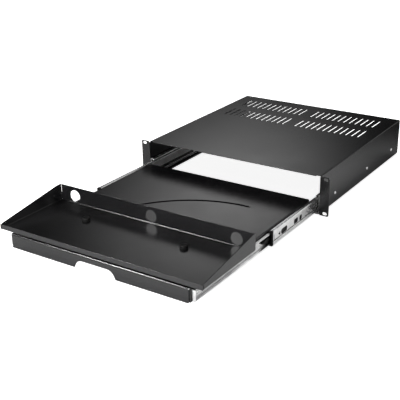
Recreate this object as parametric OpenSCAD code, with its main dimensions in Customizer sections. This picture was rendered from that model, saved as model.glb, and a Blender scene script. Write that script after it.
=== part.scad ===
// Two-unit rack drawer with a swivelling keyboard tray, shown pulled fully out.
// A folded steel housing carries two three-part ball slides. The drawer shelf hangs between them, and
// a keyboard tray wider than the rack opening sits across its front. To close, the tray is first turned
// a quarter turn about its right-hand knob, while its left-hand knob follows the curved slot.
// Millimetres. X runs along the rack's width, +Y into the rack, +Z up. The origin is the centre of the
// four rack screw slots, on the back faces of the ears, where they meet the rack posts.

/* [Rack fit] */
// Overall width across both ears
rack_w = 482.6; // [470:0.1:500]
// Height of the housing and of its ears, two rack units less the usual gap
body_h = 87; // [84:0.1:130]
// Distance between the slot columns of the two ears
ear_hole_span = 465.1; // [458:0.1:470]
// Distance between the upper and lower slots of one ear
ear_hole_rise = 76.2; // [70:0.1:78]
// Length of a rack screw slot along the width
ear_slot_l = 10; // [8:0.1:13]
// Height of a rack screw slot
ear_slot_h = 6.8; // [5.5:0.1:8]
// Rounding of the outer corners of the ears
ear_corner = 3; // [1:0.5:5]

/* [Housing] */
// Outside width of the housing
body_w = 440; // [430:1:446]
// Depth of the housing from the front of the ears to its back edge
body_d = 450; // [430:1:560]
// Thickness of the housing's sheet steel
case_sheet = 1.5; // [1.2:0.1:2]
// Inside radius of every bend in sheet steel
bend_in = 1; // [0.6:0.1:1.5]
// Width of the flanges turned in along the bottom of the side walls
foot_flange = 16; // [13:1:24]
// Width of the relief notch at each front corner of the top
relief_w = 9; // [6:0.5:14]
// Depth of that relief notch
relief_d = 4; // [3.5:0.5:8]

/* [Vents] */
// Slots in each of the four groups
vent_count = 12; // [6:1:12]
// Distance from one slot to the next
vent_pitch = 15; // [12:0.5:15.5]
// Length of a slot
vent_l = 54; // [30:1:64]
// Width of a slot
vent_w = 4; // [2.5:0.5:6]
// Distance from the middle of the top to the first slot of a group
vent_start = 17; // [12:0.5:20]
// Middle of the front row, from the front of the ears
vent_front = 301.5; // [240:0.5:310]
// Middle of the back row, from the front of the ears
vent_back = 388.5; // [370:0.5:400]

/* [Ball slides] */
// Height of the outer rail
slide_h = 42; // [42:0.5:45]
// Thickness of a complete slide
slide_t = 12.7; // [12.7:0.1:13.5]
// Gap between the slides and the housing's bottom flanges
slide_lift = 1; // [0.5:0.5:3]
// Thickness of the rails' steel strip
rail_sheet = 1.2; // [1:0.05:1.3]
// Length of the outer rails
outer_l = 446; // [420:1:447]
// Length of the middle rails
middle_l = 400; // [380:1:405]
// Length of the inner rails
inner_l = 440; // [420:1:445]
// How far the middle rails stand out in front of the ears
middle_out = 198; // [180:0.5:215]
// Height of the recess that runs along the middle rails' web
web_recess_h = 14; // [12.5:0.5:16]
// Depth of that recess
web_step = 1.2; // [1:0.1:1.3]
// Diameter of the balls between outer and middle rail
outer_ball_d = 4; // [3.6:0.1:4.2]
// Diameter of the balls between middle and inner rail
inner_ball_d = 3; // [2.8:0.1:3.2]
// Gap between a ball and its races
ball_gap = 0.2; // [0.15:0.01:0.25]
// Balls in each row
balls_per_row = 6; // [4:1:9]
// Thickness of the strip that keeps the balls apart
cage_sheet = 0.5; // [0.4:0.05:0.5]
// Length of the ball strip between outer and middle rail
outer_cage_l = 190; // [150:5:196]
// Length of the ball strip between middle and inner rail
inner_cage_l = 150; // [120:5:155]

/* [Slide fittings] */
// Depth of the plastic bumper on the front of the middle rail
bumper_d = 4.5; // [3:0.5:6]
// Gap around the inner rail where it passes through the bumper
bumper_gap = 0.5; // [0.4:0.1:0.8]
// Length of the release lever's arrow head
lever_head_l = 20; // [14:1:24]
// Height of the arrow head at its widest
lever_head_h = 14; // [10:0.5:14.5]
// Thickness of the release lever
lever_t = 4; // [3:0.1:4.2]
// Diameter of the pin that the release lever turns on
lever_pin_d = 4; // [3:0.1:4.5]
// Radial clearance of turning fits
turn_fit = 0.06; // [0.03:0.01:0.09]
// Diameter of the slide screws
screw_d = 4; // [3:0.1:5]
// Head diameter of the slide screws
screw_head_d = 7.5; // [6:0.1:8]
// Head height of the slide screws
screw_head_h = 2; // [1.4:0.1:2.4]

/* [Drawer shelf] */
// Depth of the shelf from its front panel to its back edge
shelf_d = 450; // [430:1:455]
// How far the front panel stands out in front of the ears, pulled fully out
drawer_out = 466.5; // [440:0.5:480]
// Height of the shelf's top face above the slides' centre line
shelf_rise = 15.6; // [15:0.1:18.5]
// Thickness of the drawer's and the tray's sheet steel
drawer_sheet = 1.2; // [1:0.1:1.5]
// Height of the front panel
panel_h = 28.5; // [27:0.5:30]
// How far the front panel's ends stop short of the slides
panel_end_gap = 1.5; // [0.5:0.1:2]
// Height of the shelf's back flange
back_flange = 15; // [10:0.5:20]
// Width of the finger notch at the panel's lower edge
notch_w = 96; // [92:1:120]
// Width of the finger notch at its top, measured between its straight sides
notch_top_w = 80; // [70:1:90]
// Height of the finger notch
notch_h = 16.5; // [12:0.5:19]
// Rounding of the notch's upper corners
notch_r = 18; // [6:0.5:18]

/* [Keyboard tray] */
// Width of the tray, from end to end
tray_w = 466; // [440:1:470]
// Depth of the tray
tray_d = 175; // [150:0.5:190]
// Gap between shelf and tray, filled by the gliding washers
tray_lift = 3.2; // [2.5:0.1:4]
// Height of the front lip
lip_h = 11; // [8:0.5:16]
// Height of the back wall
wall_h = 35; // [31:0.5:38]
// Level length at the back of each end wall, before it slopes down to the lip
wall_level = 12; // [6:1:30]
// Gap left open where two walls of the tray meet
corner_gap = 1.8; // [1.2:0.1:2]
// Gap between the front lip's ends and the tray's end walls
lip_gap = 2.8; // [1.8:0.1:3.5]
// Height up to which the back corners of the tray are welded shut
weld_h = 18; // [8:0.5:26]
// Diameter of the cable holes in the back wall
cable_hole_d = 26; // [15:0.5:26.5]
// Distance from the middle hole to the outer ones
cable_hole_x = 194; // [150:1:205]
// Height of the holes' centres above the underside of the tray
cable_hole_up = 15.5; // [15.5:0.5:17]

/* [Swivel] */
// Diameter of the studs of the two knobs
stud_d = 6; // [5:0.1:6.4]
// Width of the curved slot
slot_w = 7; // [6.8:0.1:9]
// Diameter of the knobs
knob_d = 16; // [13:0.5:20]
// Height of the knobs
knob_h = 6.5; // [5:0.5:9]
// Finger flutes around a knob
knob_flutes = 12; // [8:1:16]
// Diameter of the gliding washers
glide_d = 18; // [14:0.5:24]
// Width of the channel under the curved slot
guide_w = 19; // [17:0.5:24]
// Depth of that channel
guide_h = 9; // [8:0.5:12]
// Width of the hexagonal nuts over their corners
nut_d = 13; // [10:0.5:14]
// Thickness of the nuts
nut_h = 4.5; // [3:0.5:5]
// Gap between pieces that slide past each other
slide_gap = 0.3; // [0.2:0.05:0.35]

/* [Hidden] */
$fn = 48;
over = 1;
ear_front = -case_sheet;
floor_z = -body_h / 2;
bend_out = bend_in + case_sheet;
fold_out = bend_in + drawer_sheet;
rail_bend = 0.8;
wall_x = body_w / 2 - case_sheet;
rail_z = floor_z + case_sheet + slide_lift + slide_h / 2;

// Slide section: u runs from the housing's wall to the drawer, v up from the slide's centre line.
outer_ball_r = outer_ball_d / 2;
inner_ball_r = inner_ball_d / 2;
race_depth = 0.3;
web_gap = 0.8;
outer_half = slide_h / 2;
outer_race_r = outer_ball_r + ball_gap;
outer_ball_v = outer_half - rail_sheet - outer_race_r;
outer_ball_u = 4.6;
middle_u = rail_sheet + web_gap;
middle_half = outer_ball_v - outer_race_r + race_depth;
inner_race_r = inner_ball_r + ball_gap;
inner_ball_v = middle_half - rail_sheet - inner_race_r;
inner_ball_u = 7.4;
inner_half = inner_ball_v - inner_race_r + race_depth;
cage_gap = 0.2;
web_u = middle_u + web_step;
inner_cage_u = web_u + rail_sheet + cage_gap;
inner_u = inner_cage_u + cage_sheet + slide_gap;
bumper_tongue = 0.8;
pocket_gap = 0.15;
race_back_share = 0.25;
half_share = 0.5;

// Places along the slides: the outer rail and its fittings are measured from the front of the ears,
// the middle rail's from its own front end, the inner rail's from the front panel or its own front end.
outer_y = 2;
inner_setback = 7;
outer_cage_start = 10;
inner_cage_start = 16;
case_screw_y = [78, 252, 403];
drawer_screw_y = [16, 151, 331, 426];
lever_start = 8;
head_base = 15.5;
lever_tail = 12;
panel_y = ear_front - drawer_out;
shelf_back_y = panel_y + shelf_d;
middle_y = ear_front - middle_out;
inner_y = panel_y + inner_setback;
outer_cage_y = ear_front + outer_cage_start;
inner_cage_y = middle_y + inner_cage_start;
lever_y = middle_y + lever_start;

// Windows punched in the middle rail's web: start behind the rail's front end, length, height, rounding.
web_windows = [[34, 25, 11, 4.5], [88, 17, 10.4, 4], [111.5, 10.5, 11.5, 4]];
// Three-cornered window, and the long dimple: start behind the rail's front end, length, height.
web_corner = [22, 8.5, 8.5];
web_dimple = [133, 28, 11];
web_arc_y = 5.5;
web_arc_r = 14;
web_arc_w = 1.2;
web_arc_half = 6;

drawer_x = wall_x - slide_t;
shelf_z = rail_z + shelf_rise;
tray_z = shelf_z + tray_lift;
swivel_x = tray_w / 4;
swivel_y = panel_y + tray_w / 4;
swivel_r = tray_w / 2;
notch_steps = 8;
stud_tip = 1.5;
knob_round = 2;
knob_dish_d = 9;
knob_dish_h = 1;
flute_share = 0.6;
// Glides under the tray: distance from its middle, and from its front edge.
glide_places = [[-190, 28], [-190, 145], [190, 145]];

steel_black = [0.07, 0.07, 0.075];
zinc = [0.78, 0.79, 0.8];
plastic_black = [0.03, 0.03, 0.03];
nylon = [0.85, 0.85, 0.82];

// Shared shapes

// Rectangle with round corners, its lower left corner on the origin.
module round_rect(w, h, r) {
  translate([r, 0]) square([w - 2 * r, h]);
  translate([0, r]) square([w, h - 2 * r]);
  for (x = [r, w - r], y = [r, h - r]) translate([x, y]) circle(r);
}

// Slot with round ends, lying along X, centred on the origin.
module stadium(l, w) {
  square([l - w, w], center = true);
  for (s = [-1, 1]) translate([s * (l - w) / 2, 0]) circle(w / 2);
}

// Quarter ring around the origin, in the corner where both coordinates are negative.
module quarter_ring(r_in, r_out) {
  intersection() {
    difference() {
      circle(r_out);
      circle(r_in);
    }
    translate([-r_out, -r_out]) square(r_out);
  }
}

// Stretch a drawing of X and Z along Y, from y over the length l.
module along_y(y, l) {
  translate([0, y + l, 0]) rotate([90, 0, 0]) linear_extrude(l) children();
}

// Stretch a drawing of Y and Z along X, from x over the length l.
module along_x(x, l) {
  translate([x, 0, 0]) rotate([90, 0, 90]) linear_extrude(l) children();
}

// Whatever is drawn for the left side, moved over to the right side.
module right_side() {
  mirror([1, 0, 0]) children();
}

// Place a slide section, drawn in u and v, at the left wall and stretch it along Y.
module slide_run(y, l) {
  translate([-wall_x, 0, rail_z]) along_y(y, l) children();
}

// Housing

module housing_section() {
  difference() {
    translate([-body_w / 2, floor_z]) round_rect(body_w, body_h, bend_out);
    translate([case_sheet - body_w / 2, floor_z + case_sheet])
      round_rect(body_w - 2 * case_sheet, body_h - 2 * case_sheet, bend_in);
    translate([foot_flange - body_w / 2, floor_z - over])
      square([body_w - 2 * foot_flange, bend_out + over]);
  }
}

// Flat part of the left ear, drawn in X and Z.
module ear_plate() {
  ear_in = body_w / 2 + bend_in;
  difference() {
    union() {
      translate([-rack_w / 2, floor_z]) round_rect(rack_w / 2 - ear_in, body_h, ear_corner);
      translate([-ear_in - 2 * ear_corner, floor_z]) square([2 * ear_corner, body_h]);
    }
    for (s = [-1, 1])
      translate([-ear_hole_span / 2, s * ear_hole_rise / 2]) stadium(ear_slot_l, ear_slot_h);
  }
}

// Bend that turns the left wall out into its ear. It stops short of the top and bottom bends.
module ear_bend() {
  translate([-body_w / 2 - bend_in, bend_in, floor_z + bend_out])
    linear_extrude(body_h - 2 * bend_out) mirror([1, 0]) quarter_ring(bend_in, bend_out);
}

module housing() {
  top_z = floor_z + body_h;
  color(steel_black) difference() {
    union() {
      along_y(bend_in, body_d - bend_out) housing_section();
      along_y(ear_front, bend_out)
        translate([relief_w - wall_x, top_z - case_sheet])
          square([2 * (wall_x - relief_w), case_sheet]);
      for (m = [0, 1]) mirror([m, 0, 0]) {
        along_y(ear_front, case_sheet) ear_plate();
        ear_bend();
      }
    }
    for (m = [0, 1]) mirror([m, 0, 0]) {
      translate([-body_w / 2 - bend_in, ear_front - over, top_z - bend_out])
        cube([relief_w + bend_out, relief_d + over, bend_out + over]);
      for (y = case_screw_y)
        translate([-body_w / 2 - over, ear_front + y, rail_z])
          rotate([0, 90, 0]) cylinder(d = screw_d, h = case_sheet + 2 * over);
      for (y = [vent_front, vent_back], i = [0 : vent_count - 1])
        translate([-vent_start - i * vent_pitch, ear_front + y, top_z - case_sheet - over])
          linear_extrude(case_sheet + 2 * over) rotate(90) stadium(vent_l, vent_w);
    }
  }
}

// Ball slides, drawn for the left side

// Web and two flanges, the web's back at u = 0, opening towards +u.
module channel(depth, half) {
  difference() {
    translate([0, -half]) round_rect(depth + slide_t, 2 * half, rail_bend + rail_sheet);
    translate([rail_sheet, rail_sheet - half])
      round_rect(depth + slide_t, 2 * (half - rail_sheet), rail_bend);
    translate([depth, -half - over]) square([2 * slide_t, 2 * (half + over)]);
  }
}

// Curled edge that keeps a row of balls on its race, around the balls' centre line.
module race_curl(race_r) {
  curl_r = race_r + rail_sheet;
  intersection() {
    difference() {
      circle(curl_r);
      circle(race_r);
    }
    translate([0, -race_back_share * curl_r]) square([curl_r, (1 + race_back_share) * curl_r]);
  }
}

module outer_section() {
  channel(outer_ball_u, outer_half);
  for (m = [0, 1]) mirror([0, m]) translate([outer_ball_u, outer_ball_v]) race_curl(outer_race_r);
}

// The web is pressed in along its middle, which leaves a shoulder above and below.
module middle_section() {
  recess = web_recess_h / 2;
  difference() {
    union() {
      translate([middle_u, 0]) channel(inner_ball_u - middle_u, middle_half);
      translate([middle_u, -recess - rail_sheet])
        square([web_step + rail_sheet, 2 * (recess + rail_sheet)]);
      for (m = [0, 1]) mirror([0, m])
        translate([inner_ball_u, inner_ball_v]) race_curl(inner_race_r);
    }
    translate([middle_u - over, -recess]) square([web_step + over, 2 * recess]);
    for (m = [0, 1]) mirror([0, m]) translate([outer_ball_u, outer_ball_v]) circle(outer_race_r);
  }
}

module inner_section() {
  difference() {
    translate([slide_t, 0]) mirror([1, 0]) channel(slide_t - inner_u, inner_half);
    for (m = [0, 1]) mirror([0, m]) translate([inner_ball_u, inner_ball_v]) circle(inner_race_r);
  }
}

// Round hole across the whole slide.
module slide_hole(y, d) {
  translate([-wall_x - over, y, rail_z]) rotate([0, 90, 0]) cylinder(d = d, h = slide_t + 2 * over);
}

module outer_rail() {
  color(zinc) difference() {
    slide_run(ear_front + outer_y, outer_l) outer_section();
    for (y = case_screw_y) slide_hole(ear_front + y, screw_d);
  }
}

// Curved cut around the bumper's snap tongue, bowed towards the front.
module web_arc() {
  intersection() {
    difference() {
      circle(web_arc_r);
      circle(web_arc_r - web_arc_w);
    }
    translate([-web_arc_r, -web_arc_half]) square([web_arc_r, 2 * web_arc_half]);
  }
}

// Three-cornered window, its point towards the front.
module corner_window(l, h) {
  polygon([[0, 0], [l, -h / 2], [l, h / 2]]);
}

module middle_rail() {
  front = middle_y + bumper_d;
  web_out = web_u - wall_x;
  color(zinc) difference() {
    slide_run(front, middle_l) middle_section();
    along_x(web_out - over, rail_sheet + 2 * over) {
      for (w = web_windows)
        translate([front + w[0], rail_z - w[2] / 2]) round_rect(w[1], w[2], w[3]);
      translate([front + web_corner[0], rail_z]) corner_window(web_corner[1], web_corner[2]);
      translate([front + web_arc_y + web_arc_r, rail_z]) web_arc();
    }
    along_x(web_out - over, over + half_share * rail_sheet)
      translate([front + web_dimple[0] + web_dimple[1] / 2, rail_z])
        stadium(web_dimple[1], web_dimple[2]);
  }
}

module inner_rail() {
  color(zinc) difference() {
    union() {
      slide_run(inner_y, inner_l) inner_section();
      slide_run(inner_y, rail_sheet)
        translate([inner_u - rail_sheet, -inner_half])
          square([slide_t - inner_u + rail_sheet, 2 * inner_half]);
    }
    for (y = drawer_screw_y) slide_hole(inner_y + y, screw_d);
    slide_hole(lever_y, lever_pin_d);
  }
}

function ball_y(y, l, i) = y + l * (i + half_share) / balls_per_row;

// Strip that keeps two rows of balls apart, its back at u.
module ball_cage(y, l, u, ball_u, ball_v, ball_r, race_r) {
  half = ball_v + cage_sheet / 2;
  color(plastic_black) difference() {
    slide_run(y, l) translate([u, 0]) difference() {
      translate([0, -half]) square([ball_u + race_r - slide_gap - u, 2 * half]);
      translate([cage_sheet, cage_sheet - half])
        square([ball_u + race_r, 2 * (half - cage_sheet)]);
    }
    for (i = [0 : balls_per_row - 1])
      translate([ball_u - wall_x, ball_y(y, l, i), rail_z - half - over])
        cylinder(r = ball_r + pocket_gap, h = 2 * (half + over));
  }
}

module ball_rows(y, l, ball_u, ball_v, ball_r) {
  color(zinc) for (i = [0 : balls_per_row - 1], s = [-1, 1])
    translate([ball_u - wall_x, ball_y(y, l, i), rail_z + s * ball_v]) sphere(ball_r);
}

module outer_cage() {
  ball_cage(outer_cage_y, outer_cage_l, rail_sheet + (web_gap - cage_sheet) / 2,
            outer_ball_u, outer_ball_v, outer_ball_r, outer_race_r);
}

module outer_balls() {
  ball_rows(outer_cage_y, outer_cage_l, outer_ball_u, outer_ball_v, outer_ball_r);
}

module inner_cage() {
  ball_cage(inner_cage_y, inner_cage_l, inner_cage_u,
            inner_ball_u, inner_ball_v, inner_ball_r, inner_race_r);
}

module inner_balls() {
  ball_rows(inner_cage_y, inner_cage_l, inner_ball_u, inner_ball_v, inner_ball_r);
}

// Plastic frame on the front of the middle rail. Its tongue lies on the rail's web.
module front_bumper() {
  far_u = inner_ball_u + inner_race_r + rail_sheet;
  color(plastic_black) {
    slide_run(middle_y, bumper_d) difference() {
      translate([middle_u, -middle_half])
        round_rect(far_u - middle_u, 2 * middle_half, rail_bend);
      translate([inner_u - bumper_gap, -inner_half - bumper_gap])
        square([far_u, 2 * (inner_half + bumper_gap)]);
    }
    slide_run(middle_y, 2 * bumper_d)
      translate([web_u + rail_sheet, -web_recess_h / 2]) square([bumper_tongue, web_recess_h]);
  }
}

// Arrow-headed lever that frees the drawer from its slides, drawn in Y and Z around its pin.
module lever_outline() {
  neck_h = lever_pin_d + rail_sheet;
  tip_y = -head_base - lever_head_l;
  difference() {
    union() {
      circle(lever_pin_d);
      translate([-head_base - rail_sheet, -neck_h / 2])
        square([head_base + rail_sheet + lever_tail, neck_h]);
      translate([lever_tail - rail_sheet, -neck_h / 2]) square([rail_sheet, neck_h + rail_sheet]);
      polygon([
        [tip_y, rail_sheet], [tip_y, -rail_sheet],
        [-head_base, -lever_head_h / 2], [-head_base, lever_head_h / 2]
      ]);
    }
    circle(lever_pin_d / 2 + turn_fit);
  }
}

module release_lever() {
  color(plastic_black)
    along_x(slide_t - rail_sheet - slide_gap - lever_t - wall_x, lever_t)
      translate([lever_y, rail_z]) lever_outline();
}

// Rivet through the inner rail's web, with a thin head over the lever.
module lever_pin() {
  reach = 2 * rail_sheet + lever_t + 2 * slide_gap;
  color(zinc) translate([slide_t - reach - wall_x, lever_y, rail_z]) rotate([0, 90, 0]) {
    cylinder(d = lever_pin_d, h = reach);
    cylinder(r = lever_pin_d - slide_gap, h = rail_sheet);
  }
}

// Round-headed screw along X: the head ends and the shank begins at the origin.
module pan_screw(l) {
  head_r = screw_head_d / 2;
  dome_r = (head_r * head_r + screw_head_h * screw_head_h) / (2 * screw_head_h);
  rotate([0, 90, 0]) {
    cylinder(d = screw_d, h = l);
    mirror([0, 0, 1]) rotate_extrude() intersection() {
      translate([0, screw_head_h - dome_r]) circle(dome_r);
      square([head_r, screw_head_h]);
    }
  }
}

module case_screws() {
  color(zinc) for (y = case_screw_y)
    translate([-body_w / 2, ear_front + y, rail_z]) pan_screw(case_sheet + rail_sheet);
}

module drawer_screws() {
  color(zinc) for (y = drawer_screw_y)
    translate([slide_t - rail_sheet - wall_x, inner_y + y, rail_z])
      pan_screw(2 * rail_sheet + drawer_sheet);
}

// Drawer shelf

// Rounded fold of a plate's edge, its outside corner on the origin, the wall rising.
module fold() {
  translate([fold_out, fold_out]) quarter_ring(bend_in, fold_out);
}

// Fold with its wall of height h.
module folded_edge(h) {
  fold();
  translate([0, fold_out]) square([drawer_sheet, h - fold_out]);
}

// Finger notch, centred on its lower edge, with leaning sides and round upper corners.
module finger_notch() {
  slope = atan2(notch_h, (notch_w - notch_top_w) / 2);
  corner_x = notch_top_w / 2 - notch_r * tan(slope / 2);
  arc = [for (i = [0 : notch_steps]) 90 - slope + slope * i / notch_steps];
  side = [for (a = arc) [corner_x + notch_r * cos(a), notch_h - notch_r + notch_r * sin(a)]];
  polygon(concat(
    [[-notch_w / 2, -over], [notch_w / 2, -over], [notch_w / 2, 0]], side,
    [for (i = [notch_steps : -1 : 0]) [-side[i][0], side[i][1]]], [[-notch_w / 2, 0]]
  ));
}

// Quarter of a ring path around the pivot, where the other knob travels, lengthened at both ends.
module swivel_path(half, ext) {
  far_r = swivel_r + half;
  intersection() {
    difference() {
      circle(far_r);
      circle(swivel_r - half);
    }
    translate([-far_r, 0]) square(far_r);
  }
  translate([0, swivel_r - half]) square([ext, 2 * half]);
  translate([-far_r, -ext]) square([2 * half, ext]);
}

module curved_slot() {
  swivel_path(slot_w / 2, over);
  translate([over, swivel_r]) circle(slot_w / 2);
  translate([-swivel_r, -over]) circle(slot_w / 2);
}

module drawer_shelf() {
  side_l = shelf_d - 2 * (drawer_sheet + corner_gap);
  plate_x = drawer_x - fold_out;
  panel_x = drawer_x - panel_end_gap;
  color(steel_black) difference() {
    union() {
      translate([-plate_x, panel_y + fold_out, shelf_z - drawer_sheet])
        cube([2 * plate_x, shelf_d - 2 * fold_out, drawer_sheet]);
      along_x(-plate_x, 2 * plate_x) {
        translate([panel_y, shelf_z]) mirror([0, 1]) fold();
        translate([shelf_back_y, shelf_z]) rotate(180) folded_edge(back_flange);
      }
      along_y(panel_y, drawer_sheet)
        translate([-panel_x, shelf_z - panel_h]) square([2 * panel_x, panel_h - fold_out]);
      for (m = [0, 1]) mirror([m, 0, 0])
        along_y(panel_y + drawer_sheet + corner_gap, side_l)
          translate([-drawer_x, shelf_z]) mirror([0, 1]) folded_edge(panel_h);
    }
    along_y(panel_y - over, drawer_sheet + 2 * over)
      translate([0, shelf_z - panel_h]) finger_notch();
    translate([swivel_x, swivel_y, shelf_z - drawer_sheet - over])
      linear_extrude(drawer_sheet + 2 * over) {
        circle(d = stud_d);
        curved_slot();
      }
    for (m = [0, 1], y = drawer_screw_y) mirror([m, 0, 0])
      translate([-drawer_x - over, inner_y + y, rail_z])
        rotate([0, 90, 0]) cylinder(d = screw_d, h = drawer_sheet + 2 * over);
  }
}

// Closed channel welded under the curved slot. The lock nut runs inside it.
module swivel_guide() {
  half = guide_w / 2;
  top = shelf_z - drawer_sheet;
  color(steel_black) translate([swivel_x, swivel_y, top - guide_h]) difference() {
    linear_extrude(guide_h) swivel_path(half, half);
    translate([0, 0, drawer_sheet])
      linear_extrude(guide_h) swivel_path(half - drawer_sheet, half - drawer_sheet);
  }
}

// Keyboard tray and its swivel

// End wall of the tray in Y and Z: level at the back, then sloping down to the lip.
module end_wall() {
  y0 = drawer_sheet + lip_gap;
  polygon([
    [y0, fold_out], [tray_d, fold_out], [tray_d, wall_h], [tray_d - wall_level, wall_h],
    [y0, lip_h]
  ]);
}

module keyboard_tray() {
  half_w = tray_w / 2;
  plate_x = half_w - fold_out;
  back_x = half_w - drawer_sheet - corner_gap;
  side_l = tray_d - drawer_sheet - lip_gap;
  color(steel_black) translate([0, panel_y, tray_z]) difference() {
    union() {
      translate([-plate_x, fold_out, 0])
        cube([2 * plate_x, tray_d - 2 * fold_out, drawer_sheet]);
      along_x(-half_w, tray_w) folded_edge(lip_h);
      along_x(-back_x, 2 * back_x) translate([tray_d, 0]) mirror([1, 0]) folded_edge(wall_h);
      translate([-half_w, tray_d - drawer_sheet, fold_out])
        cube([tray_w, drawer_sheet, weld_h - fold_out]);
      for (m = [0, 1]) mirror([m, 0, 0]) {
        along_y(tray_d - side_l, side_l) translate([-half_w, 0]) fold();
        along_x(-half_w, drawer_sheet) end_wall();
      }
    }
    for (x = [-cable_hole_x, 0, cable_hole_x])
      along_y(tray_d - drawer_sheet - over, drawer_sheet + 2 * over)
        translate([x, cable_hole_up]) circle(d = cable_hole_d);
    for (s = [-1, 1])
      translate([s * swivel_x, swivel_y - panel_y, -over])
        cylinder(d = stud_d + 2 * turn_fit, h = drawer_sheet + 2 * over);
  }
}

// Ring of nylon that fills the gap between shelf and tray.
module glide_ring(bore) {
  color(nylon) linear_extrude(tray_lift) difference() {
    circle(d = glide_d);
    circle(d = bore);
  }
}

module tray_glides() {
  color(nylon) for (g = glide_places)
    translate([g[0], panel_y + g[1], shelf_z]) cylinder(d = glide_d, h = tray_lift);
}

module pivot_washer() {
  translate([swivel_x, swivel_y, shelf_z]) glide_ring(stud_d + 2 * turn_fit);
}

module lock_washer() {
  translate([-swivel_x, swivel_y, shelf_z]) glide_ring(stud_d + 2 * turn_fit);
}

// Hexagonal nut, hanging from the origin.
module hex_nut() {
  color(zinc) translate([0, 0, -nut_h]) linear_extrude(nut_h) difference() {
    circle(d = nut_d, $fn = 6);
    circle(d = stud_d + 2 * turn_fit);
  }
}

module pivot_nut() {
  translate([swivel_x, swivel_y, shelf_z - drawer_sheet]) hex_nut();
}

module lock_nut() {
  translate([-swivel_x, swivel_y, shelf_z - drawer_sheet - slide_gap]) hex_nut();
}

// Fluted knob with its stud: the knob stands on the origin, the stud reaches down by l.
module thumb_knob(l) {
  knob_r = knob_d / 2;
  flute_r = flute_share * knob_d / knob_flutes;
  color(plastic_black) {
    translate([0, 0, -l]) cylinder(d = stud_d, h = l);
    difference() {
      rotate_extrude() {
        square([knob_r, knob_h - knob_round]);
        square([knob_r - knob_round, knob_h]);
        translate([knob_r - knob_round, knob_h - knob_round]) circle(knob_round);
      }
      for (i = [0 : knob_flutes - 1])
        rotate(i * 360 / knob_flutes)
          translate([knob_r + flute_share * flute_r, 0, -over])
            cylinder(r = flute_r, h = knob_h + 2 * over);
      translate([0, 0, knob_h - knob_dish_h]) cylinder(d = knob_dish_d, h = knob_dish_h + over);
    }
  }
}

module pivot_knob() {
  translate([swivel_x, swivel_y, tray_z + drawer_sheet])
    thumb_knob(2 * drawer_sheet + tray_lift + nut_h + stud_tip);
}

module lock_knob() {
  translate([-swivel_x, swivel_y, tray_z + drawer_sheet])
    thumb_knob(2 * drawer_sheet + tray_lift + slide_gap + nut_h + stud_tip);
}

// Left and right pieces

module left_outer_rail() {
  outer_rail();
}

module right_outer_rail() {
  right_side() outer_rail();
}

module left_case_screws() {
  case_screws();
}

module right_case_screws() {
  right_side() case_screws();
}

module left_middle_rail() {
  middle_rail();
}

module right_middle_rail() {
  right_side() middle_rail();
}

module left_front_bumper() {
  front_bumper();
}

module right_front_bumper() {
  right_side() front_bumper();
}

module left_outer_cage() {
  outer_cage();
}

module right_outer_cage() {
  right_side() outer_cage();
}

module left_outer_balls() {
  outer_balls();
}

module right_outer_balls() {
  right_side() outer_balls();
}

module left_inner_cage() {
  inner_cage();
}

module right_inner_cage() {
  right_side() inner_cage();
}

module left_inner_balls() {
  inner_balls();
}

module right_inner_balls() {
  right_side() inner_balls();
}

module left_inner_rail() {
  inner_rail();
}

module right_inner_rail() {
  right_side() inner_rail();
}

module left_drawer_screws() {
  drawer_screws();
}

module right_drawer_screws() {
  right_side() drawer_screws();
}

module left_lever_pin() {
  lever_pin();
}

module right_lever_pin() {
  right_side() lever_pin();
}

module left_release_lever() {
  release_lever();
}

module right_release_lever() {
  right_side() release_lever();
}

housing();
left_outer_rail();
right_outer_rail();
left_case_screws();
right_case_screws();
left_middle_rail();
right_middle_rail();
left_front_bumper();
right_front_bumper();
left_outer_cage();
right_outer_cage();
left_outer_balls();
right_outer_balls();
left_inner_cage();
right_inner_cage();
left_inner_balls();
right_inner_balls();
drawer_shelf();
left_inner_rail();
right_inner_rail();
left_drawer_screws();
right_drawer_screws();
swivel_guide();
pivot_washer();
pivot_nut();
pivot_knob();
left_lever_pin();
right_lever_pin();
left_release_lever();
right_release_lever();
keyboard_tray();
tray_glides();
lock_washer();
lock_nut();
lock_knob();
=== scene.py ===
"""Looks for the rack keyboard drawer: satin black powder coat, bright zinc slides, white studio."""

import math

import bpy
import numpy as np
from mathutils import Matrix, Vector


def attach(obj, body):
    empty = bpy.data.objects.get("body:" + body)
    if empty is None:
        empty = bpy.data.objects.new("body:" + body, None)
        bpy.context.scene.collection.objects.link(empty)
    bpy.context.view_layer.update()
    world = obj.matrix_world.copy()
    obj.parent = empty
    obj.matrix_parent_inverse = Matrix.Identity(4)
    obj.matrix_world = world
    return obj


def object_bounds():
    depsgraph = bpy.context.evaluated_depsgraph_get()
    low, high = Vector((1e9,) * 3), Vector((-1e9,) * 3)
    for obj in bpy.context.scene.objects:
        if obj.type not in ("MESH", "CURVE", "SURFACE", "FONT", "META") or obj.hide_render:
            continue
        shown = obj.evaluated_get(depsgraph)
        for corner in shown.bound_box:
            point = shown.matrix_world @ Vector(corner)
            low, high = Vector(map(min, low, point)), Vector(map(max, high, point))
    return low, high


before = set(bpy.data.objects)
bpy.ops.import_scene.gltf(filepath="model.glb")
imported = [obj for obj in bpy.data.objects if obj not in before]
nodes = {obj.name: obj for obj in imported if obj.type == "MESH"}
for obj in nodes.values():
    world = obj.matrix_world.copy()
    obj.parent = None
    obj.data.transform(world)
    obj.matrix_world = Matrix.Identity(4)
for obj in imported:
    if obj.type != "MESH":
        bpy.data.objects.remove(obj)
cad_box = [list(corner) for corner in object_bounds()]

MM = 0.001  # one millimetre, in metres


def linear(hex_colour):
    """sRGB hex to linear red, green, blue and alpha: the sRGB curve, channel by channel."""
    channels = [int(hex_colour[i:i + 2], 16) / 255 for i in (1, 3, 5)]
    return [c / 12.92 if c <= 0.04045 else ((c + 0.055) / 1.055) ** 2.4 for c in channels] + [1]


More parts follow.
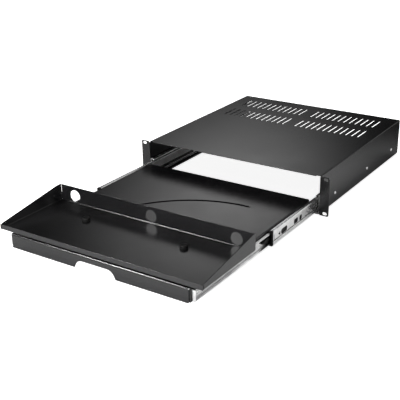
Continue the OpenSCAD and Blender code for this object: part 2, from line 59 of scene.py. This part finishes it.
def add(tree, kind, settings=None, links=None):
    """Adds a node of that kind, sets its properties or sockets, and links its inputs to outputs."""
    node = tree.nodes.new(kind)
    for name, value in (settings or {}).items():
        if isinstance(name, int) or name in node.inputs:
            node.inputs[name].default_value = value
        else:
            setattr(node, name, value)
    for name, output in (links or {}).items():
        tree.links.new(output, node.inputs[name])
    return node


def empty_material(name):
    """A node material with no nodes in it yet."""
    material = bpy.data.materials.new(name)
    material.use_nodes = True
    tree = material.node_tree
    tree.nodes.clear()
    return material, tree


def new_material(name):
    """A node material with its shader and output, and the surface's own coordinates."""
    material, tree = empty_material(name)
    shader = add(tree, "ShaderNodeBsdfPrincipled")
    add(tree, "ShaderNodeOutputMaterial", links={"Surface": shader.outputs["BSDF"]})
    place = add(tree, "ShaderNodeTexCoord").outputs["Object"]
    return material, tree, shader, place


def powder_coat():
    """Sheet steel with a satin black polyester powder coat, sprayed and baked. The melted powder leaves a
    fine orange peel, so lights turn into broad soft glows, and cut edges catch a thin bright line."""
    material, tree, shader, place = new_material("satin_black_powder_coat")
    peel = add(tree, "ShaderNodeTexNoise", {"Scale": 1 / (1.4 * MM), "Detail": 3, "Roughness": 0.55},
               {"Vector": place})
    drift = add(tree, "ShaderNodeTexNoise", {"Scale": 1 / (90 * MM), "Detail": 2, "Roughness": 0.5},
                {"Vector": place})
    gloss = add(tree, "ShaderNodeMapRange",
                {"From Min": 0.3, "From Max": 0.7, "To Min": 0.23, "To Max": 0.27},
                {"Value": drift.outputs["Fac"]})
    tone = add(tree, "ShaderNodeValToRGB", links={"Fac": peel.outputs["Fac"]})
    tone.color_ramp.elements[0].position = 0.3
    tone.color_ramp.elements[0].color = linear("#060607")
    tone.color_ramp.elements[1].position = 0.7
    tone.color_ramp.elements[1].color = linear("#0b0b0c")
    edge = add(tree, "ShaderNodeBevel", {"samples": 6, "Radius": 0.7 * MM})
    bump = add(tree, "ShaderNodeBump", {"Strength": 0.18, "Distance": 0.04 * MM},
               {"Height": peel.outputs["Fac"], "Normal": edge.outputs["Normal"]})
    shader.inputs["IOR"].default_value = 1.55
    tree.links.new(tone.outputs["Color"], shader.inputs["Base Color"])
    tree.links.new(gloss.outputs["Result"], shader.inputs["Roughness"])
    tree.links.new(bump.outputs["Normal"], shader.inputs["Normal"])
    return material


def zinc_plate():
    """Cold-rolled steel strip with bright zinc plate, roll-formed. The rolls leave streaks along the rail,
    so its shine is stretched and a little cloudy. Painted shade darkens the folds and the ball tracks."""
    material, tree, shader, place = new_material("bright_zinc_plated_steel")
    # Real roll streaks are a few tenths of a millimetre apart. They would vanish, so they are drawn coarser.
    along = add(tree, "ShaderNodeMapping", {"Scale": (1, 0.02, 1)}, {"Vector": place})
    streak = add(tree, "ShaderNodeTexNoise", {"Scale": 1 / (1.2 * MM), "Detail": 4, "Roughness": 0.6},
                 {"Vector": along.outputs["Vector"]})
    cloud = add(tree, "ShaderNodeTexNoise", {"Scale": 1 / (22 * MM), "Detail": 3, "Roughness": 0.6},
                {"Vector": place})
    tone = add(tree, "ShaderNodeValToRGB", links={"Fac": cloud.outputs["Fac"]})
    tone.color_ramp.elements[0].position = 0.35
    tone.color_ramp.elements[0].color = linear("#e4e4e4")
    tone.color_ramp.elements[1].position = 0.65
    tone.color_ramp.elements[1].color = linear("#f6f6f6")
    # Painted shade: the colour turns dark grey where the surface is enclosed, within 9 mm in the ball tracks
    # and within 2 mm in the folds.
    tracks = add(tree, "ShaderNodeAmbientOcclusion", {"samples": 6, "Distance": 9 * MM})
    folds = add(tree, "ShaderNodeAmbientOcclusion", {"samples": 6, "Distance": 2 * MM})
    openness = add(tree, "ShaderNodeMath", {"operation": "MULTIPLY"},
                {0: tracks.outputs["AO"], 1: folds.outputs["AO"]})
    unshaded = add(tree, "ShaderNodeMapRange", {"From Min": 0.25, "From Max": 0.75}, {"Value": openness.outputs[0]})
    painted_fold_shade = add(tree, "ShaderNodeMix", {"data_type": "RGBA", 6: linear("#2e2e2c")},
                  {0: unshaded.outputs["Result"], 7: tone.outputs["Color"]})
    gloss = add(tree, "ShaderNodeMapRange",
                {"From Min": 0.3, "From Max": 0.7, "To Min": 0.16, "To Max": 0.3},
                {"Value": streak.outputs["Fac"]})
    edge = add(tree, "ShaderNodeBevel", {"samples": 6, "Radius": 0.35 * MM})
    bump = add(tree, "ShaderNodeBump", {"Strength": 0.08, "Distance": 0.04 * MM},
               {"Height": streak.outputs["Fac"], "Normal": edge.outputs["Normal"]})
    shader.inputs["Metallic"].default_value = 1
    tree.links.new(painted_fold_shade.outputs[2], shader.inputs["Base Color"])
    tree.links.new(gloss.outputs["Result"], shader.inputs["Roughness"])
    tree.links.new(bump.outputs["Normal"], shader.inputs["Normal"])
    return material


def moulded_black():
    """Black ABS and acetal, injection moulded against a spark-eroded tool, which leaves a fine matt grain.
    The grain swallows most of the shine."""
    material, tree, shader, place = new_material("moulded_black_abs")
    # The real grain is about a tenth of a millimetre, and is drawn coarser for the same reason.
    grain = add(tree, "ShaderNodeTexNoise", {"Scale": 1 / (0.4 * MM), "Detail": 2, "Roughness": 0.5},
                {"Vector": place})
    gloss = add(tree, "ShaderNodeMapRange",
                {"From Min": 0.3, "From Max": 0.7, "To Min": 0.42, "To Max": 0.55},
                {"Value": grain.outputs["Fac"]})
    edge = add(tree, "ShaderNodeBevel", {"samples": 6, "Radius": 0.4 * MM})
    bump = add(tree, "ShaderNodeBump", {"Strength": 0.2, "Distance": 0.03 * MM},
               {"Height": grain.outputs["Fac"], "Normal": edge.outputs["Normal"]})
    shader.inputs["Base Color"].default_value = linear("#060606")
    shader.inputs["IOR"].default_value = 1.53
    shader.inputs["Specular IOR Level"].default_value = 0.12
    tree.links.new(gloss.outputs["Result"], shader.inputs["Roughness"])
    tree.links.new(bump.outputs["Normal"], shader.inputs["Normal"])
    return material


def natural_nylon():
    """Undyed nylon 6, moulded: milky and a little cloudy, with the soft satin of a polished tool."""
    material, tree, shader, place = new_material("natural_nylon")
    cloud = add(tree, "ShaderNodeTexNoise", {"Scale": 1 / (6 * MM), "Detail": 2}, {"Vector": place})
    tone = add(tree, "ShaderNodeValToRGB", links={"Fac": cloud.outputs["Fac"]})
    tone.color_ramp.elements[0].color = linear("#cfcabb")
    tone.color_ramp.elements[1].color = linear("#e0dccf")
    gloss = add(tree, "ShaderNodeMapRange",
                {"From Min": 0.3, "From Max": 0.7, "To Min": 0.38, "To Max": 0.5},
                {"Value": cloud.outputs["Fac"]})
    edge = add(tree, "ShaderNodeBevel", {"samples": 6, "Radius": 0.3 * MM})
    shader.inputs["IOR"].default_value = 1.53
    tree.links.new(tone.outputs["Color"], shader.inputs["Base Color"])
    tree.links.new(gloss.outputs["Result"], shader.inputs["Roughness"])
    tree.links.new(edge.outputs["Normal"], shader.inputs["Normal"])
    return material


def paint(names, material):
    """Gives each named piece this one material."""
    for name in names:
        mesh = nodes[name].data
        mesh.materials.clear()
        mesh.materials.append(material)


def both(*names):
    """The left and the right piece of each name."""
    return [f"{side}_{name}" for name in names for side in ("left", "right")]


steel = ["housing", "drawer_shelf", "swivel_guide", "keyboard_tray"]
plastic = both("front_bumper", "release_lever", "outer_cage", "inner_cage") + ["pivot_knob", "lock_knob"]
nylon = ["pivot_washer", "lock_washer", "tray_glides"]
zinc = [name for name in nodes if name not in steel + plastic + nylon]
paint(steel, powder_coat())
paint(plastic, moulded_black())
paint(nylon, natural_nylon())
paint(zinc, zinc_plate())


def corner_angles():
    """Two small steel angles inside the drawer's front corners, behind the panel's ends. They are painted
    shade:
    dark sheets that stand for the shade behind the open corners, so that these show no daylight. The outline
    is an L whose bend is two quarter circles about one middle, and it is drawn straight up from the panel's
    lower edge. The left angle mirrors the right."""
    # Millimetres: the outside faces of the right angle, where its two legs end, and its lower and upper edge.
    thick, bend, tip_x, tip_y = 1.2, 1.6, 193.0, -453.0
    outer_x, outer_y, low, high = 204.55, -466.75, -31.4, -7.4
    turn = np.radians(np.linspace(-90, 0, 9))
    quarter = np.stack([np.cos(turn), np.sin(turn)], 1)
    middle = np.array([outer_x - bend, outer_y + bend])
    outer, inner = middle + bend * quarter, middle + (bend - thick) * quarter
    ring = np.concatenate([[(tip_x, outer_y)], outer, [(outer_x, tip_y), (outer_x - thick, tip_y)],
                           inner[::-1], [(tip_x, outer_y + thick)]])
    count = len(ring)
    right = np.concatenate([np.column_stack([ring, np.full(count, z)]) for z in (low, high)])
    sides = [(i, (i + 1) % count, count + (i + 1) % count, count + i) for i in range(count)]
    faces = sides + [tuple(range(count))[::-1], tuple(range(count, 2 * count))]
    left = right * (-1, 1, 1)
    mirrored = [tuple(2 * count + i for i in face[::-1]) for face in faces]
    mesh = bpy.data.meshes.new("front_corner_shade_angles")
    mesh.from_pydata((np.concatenate([right, left]) * MM).tolist(), [], faces + mirrored)
    # The black powder coat makes the angles painted shade in the open corners.
    mesh.materials.append(nodes["drawer_shelf"].data.materials[0])
    angles = bpy.data.objects.new("front_corner_shade_angles", mesh)
    bpy.context.scene.collection.objects.link(angles)
    soften = angles.modifiers.new("edges", "BEVEL")
    soften.width, soften.segments, soften.limit_method = 0.2 * MM, 2, "ANGLE"
    soften.angle_limit = math.radians(40)
    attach(angles, "drawer")


corner_angles()


# Studio. Places and sizes of the lights are in metres, their power in watts.

def flat_sheet(name, corners, material):
    """A flat stage sheet from its corner points."""
    mesh = bpy.data.meshes.new(name)
    mesh.from_pydata(corners, [], [tuple(range(len(corners)))])
    mesh.materials.append(material)
    sheet = bpy.data.objects.new(name, mesh)
    bpy.context.scene.collection.objects.link(sheet)
    return sheet


def studio_floor():
    """White paper under the unit. Reflections show it as it is lit, graded to grey behind the unit as a
    studio's light falls off. The camera sees its glow added, nearly plain white but for the unit's shadow."""
    material, tree = empty_material("graded_white_paper")
    place = add(tree, "ShaderNodeTexCoord").outputs["Object"]
    depth = add(tree, "ShaderNodeSeparateXYZ", links={0: place}).outputs["Y"]
    grade = add(tree, "ShaderNodeMapRange",
                {"interpolation_type": "SMOOTHSTEP", "From Min": 0.1, "From Max": 0.7}, {"Value": depth})
    ray = add(tree, "ShaderNodeLightPath")
    far = add(tree, "ShaderNodeMath", {"operation": "MULTIPLY"},
              {0: grade.outputs["Result"], 1: ray.outputs["Is Glossy Ray"]})
    tone = add(tree, "ShaderNodeMix", {"data_type": "RGBA", 6: linear("#f4f4f4"), 7: linear("#3a3a3a")},
               {0: far.outputs[0]})
    paper = add(tree, "ShaderNodeBsdfDiffuse", links={"Color": tone.outputs[2]})
    white = add(tree, "ShaderNodeEmission", {"Color": (1, 1, 1, 1)})
    seen = add(tree, "ShaderNodeMath", {"operation": "MAXIMUM"},
               {0: ray.outputs["Is Camera Ray"], 1: ray.outputs["Is Transmission Ray"]})
    straight = add(tree, "ShaderNodeMath", {"operation": "MULTIPLY", 1: 0.9}, {0: seen.outputs[0]})
    mirrored = add(tree, "ShaderNodeMath", {"operation": "MULTIPLY", 1: 0.02},
                   {0: ray.outputs["Is Glossy Ray"]})
    share = add(tree, "ShaderNodeMath", {"operation": "MAXIMUM"},
                {0: straight.outputs[0], 1: mirrored.outputs[0]})
    tree.links.new(share.outputs[0], white.inputs["Strength"])
    both_looks = add(tree, "ShaderNodeAddShader", links={0: paper.outputs[0], 1: white.outputs[0]})
    add(tree, "ShaderNodeOutputMaterial", links={"Surface": both_looks.outputs[0]})
    low, reach = cad_box[0][2] - 2 * MM, 5
    corners = [(x * reach, y * reach, low) for x, y in ((-1, -1), (1, -1), (1, 1), (-1, 1))]
    flat_sheet("floor", corners, material)


def white_surround():
    """The studio around the unit: plain white to the camera. Reflections show it dim near the horizon and
    lighter overhead, with a bright window side on the right."""
    world = bpy.data.worlds.new("white_surround")
    bpy.context.scene.world = world
    world.use_nodes = True
    tree = world.node_tree
    tree.nodes.clear()
    way = add(tree, "ShaderNodeTexCoord").outputs["Generated"]
    parts = add(tree, "ShaderNodeSeparateXYZ", links={0: way}).outputs
    level = add(tree, "ShaderNodeMapRange",
                {"interpolation_type": "SMOOTHSTEP", "From Min": 0.38, "From Max": 0.62,
                 "To Min": 0.0, "To Max": 0.25}, {"Value": parts["Z"]})
    window = add(tree, "ShaderNodeMapRange",
                 {"interpolation_type": "SMOOTHSTEP", "From Min": 0.15, "From Max": 0.5,
                  "To Min": 0.0, "To Max": 1.0}, {"Value": parts["X"]})
    bright = add(tree, "ShaderNodeMath", {"operation": "MAXIMUM"},
                 {0: level.outputs["Result"], 1: window.outputs["Result"]})
    soft = add(tree, "ShaderNodeBackground", {"Color": (1, 1, 1, 1), "Strength": 0.12})
    shaded = add(tree, "ShaderNodeBackground", {"Color": (1, 1, 1, 1)}, {"Strength": bright.outputs[0]})
    white = add(tree, "ShaderNodeBackground", {"Color": (1, 1, 1, 1), "Strength": 1})
    ray = add(tree, "ShaderNodeLightPath")
    straight = add(tree, "ShaderNodeMath", {"operation": "MAXIMUM"},
                   {0: ray.outputs["Is Camera Ray"], 1: ray.outputs["Is Transmission Ray"]})
    mirrored = add(tree, "ShaderNodeMixShader",
                   links={0: ray.outputs["Is Glossy Ray"], 1: soft.outputs[0], 2: shaded.outputs[0]})
    mix = add(tree, "ShaderNodeMixShader",
              links={0: straight.outputs[0], 1: mirrored.outputs[0], 2: white.outputs[0]})
    add(tree, "ShaderNodeOutputWorld", links={"Surface": mix.outputs[0]})


def glow_panel(middle, turn, length, width, strength):
    """A light panel that hangs flat behind the unit on the left. It is brightest in the middle and fades to
    its edges, and the level faces of the unit mirror it as one long soft glow."""
    material, tree = empty_material("glow_panel")
    place = add(tree, "ShaderNodeTexCoord").outputs["Object"]
    local = add(tree, "ShaderNodeMapping",
                {"vector_type": "TEXTURE", "Location": middle, "Rotation": (0, 0, turn),
                 "Scale": (width / 2, length / 2, 1)}, {"Vector": place})
    reach = add(tree, "ShaderNodeVectorMath", {"operation": "LENGTH"}, {0: local.outputs[0]})
    fade = add(tree, "ShaderNodeMapRange",
                {"interpolation_type": "SMOOTHSTEP", "From Min": 0, "From Max": 1,
                 "To Min": strength, "To Max": 0}, {"Value": reach.outputs["Value"]})
    glow = add(tree, "ShaderNodeEmission", {"Color": (1, 1, 1, 1)}, {"Strength": fade.outputs["Result"]})
    add(tree, "ShaderNodeOutputMaterial", links={"Surface": glow.outputs[0]})
    along = Vector((-math.sin(turn), math.cos(turn), 0)) * length / 2
    across = Vector((math.cos(turn), math.sin(turn), 0)) * width / 2
    corners = [tuple(Vector(middle) + along * a + across * b)
               for a, b in ((-1, -1), (-1, 1), (1, 1), (1, -1))]
    flat_sheet("glow_panel", corners, material).visible_camera = False


def softbox(name, place, target, width, height, power, lights=True, shows=True):
    """A rectangular lamp that faces its target. It can be kept from lighting things, so that only reflections
    show it, or kept out of reflections."""
    lamp = bpy.data.lights.new(name, "AREA")
    lamp.shape = "RECTANGLE"
    lamp.size, lamp.size_y = width, height
    lamp.energy = power
    lamp_object = bpy.data.objects.new(name, lamp)
    lamp_object.location = place
    lamp_object.visible_diffuse, lamp_object.visible_glossy = lights, shows
    aim = Vector(target) - Vector(place)
    lamp_object.rotation_euler = aim.to_track_quat("-Z", "Y").to_euler()
    bpy.context.scene.collection.objects.link(lamp_object)


def photo_camera():
    """A pinhole fitted to points of the photograph: its place in millimetres, its yaw, pitch and roll in
    radians, and its focal length in pixels of the photograph's 400-pixel frame."""
    place = Vector((896.5, -1466.8, 668.7)) * MM
    yaw, pitch, roll = 0.5878, -0.3996, -0.0163
    focal_pixels, frame_pixels, sensor_mm = 829.6, 400, 36
    forward = Vector((-math.sin(yaw) * math.cos(pitch), math.cos(yaw) * math.cos(pitch), math.sin(pitch)))
    right = Vector((math.cos(yaw), math.sin(yaw), 0))
    up = right.cross(forward)
    tilted_right = right * math.cos(roll) + up * math.sin(roll)
    tilted_up = up * math.cos(roll) - right * math.sin(roll)
    camera = bpy.data.cameras.new("camera")
    camera.sensor_width = sensor_mm
    camera.lens = focal_pixels / frame_pixels * sensor_mm
    camera.clip_end = 30
    camera_object = bpy.data.objects.new("camera", camera)
    turn = Matrix((tilted_right, tilted_up, -forward)).transposed().to_4x4()
    camera_object.matrix_world = Matrix.Translation(place) @ turn
    bpy.context.scene.collection.objects.link(camera_object)
    bpy.context.scene.camera = camera_object


studio_floor()
white_surround()
glow_panel((-1.16, 1.85, 1.03), math.radians(8), 2.55, 1.6, 1.85)
softbox("overhead", (0, -0.2, 1.6), (0, -0.2, 0), 2.4, 2.0, 6)
softbox("back", (-0.6, 0.7, 1.4), (0.1, -0.2, 0), 1.2, 1.2, 33, shows=False)
softbox("edge", (-0.83, -0.94, 1.2), (0, -0.2, 0), 0.3, 0.3, 46, lights=False)
softbox("front", (0.15, -1.4, 0.12), (0.05, -0.4, 0), 0.6, 0.3, 32)
photo_camera()
bpy.context.scene.view_settings.view_transform = "Standard"
